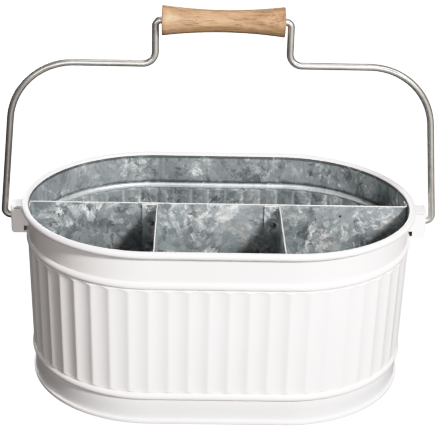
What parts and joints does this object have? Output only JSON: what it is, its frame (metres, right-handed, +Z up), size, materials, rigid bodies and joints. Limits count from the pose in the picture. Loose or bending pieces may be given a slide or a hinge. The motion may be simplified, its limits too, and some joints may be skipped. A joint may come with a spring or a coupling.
{
  "type": "silverware caddy",
  "caption": "Oval fluted sheet-steel tub for cutlery, white outside and bare galvanised inside, with upright dividers and a swinging wire bail that carries a wooden grip.",
  "frame": {"origin": "middle of the base, on the surface that the caddy stands on", "axes": "+X along the length, from ear to ear; +Y from the three front compartments to the long rear one; +Z up, with the bail upright at rest"},
  "size_m": [0.3082, 0.1846, 0.2707],
  "materials": {
    "white_paint": "satin white paint over galvanised sheet",
    "galvanised_steel": "spangled zinc, unpainted",
    "steel_wire": "drawn wire, satin",
    "turned_wood": "turned light hardwood, matt"
  },
  "bodies": {
    "tub": {"tub_wall": "white_paint", "rim_wire": "steel_wire", "bottom_pan": "white_paint", "long_divider": "galvanised_steel", "cross_divider_left": "galvanised_steel", "cross_divider_right": "galvanised_steel", "ear_left": "white_paint", "ear_right": "white_paint"},
    "bail": {"bail_wire": "steel_wire"},
    "grip": {"wood_grip": "turned_wood"}
  },
  "joints": [
    {"name": "bail_swing", "type": "hinge", "parent": "tub", "child": "bail", "pos_m": [0, 0, 0.1173], "axis": [1, 0, 0], "range_deg": [-126, 126]},
    {"name": "grip_spin", "type": "hinge", "parent": "bail", "child": "grip", "pos_m": [0, 0, 0.2605], "axis": [1, 0, 0], "continuous": true}
  ]
}
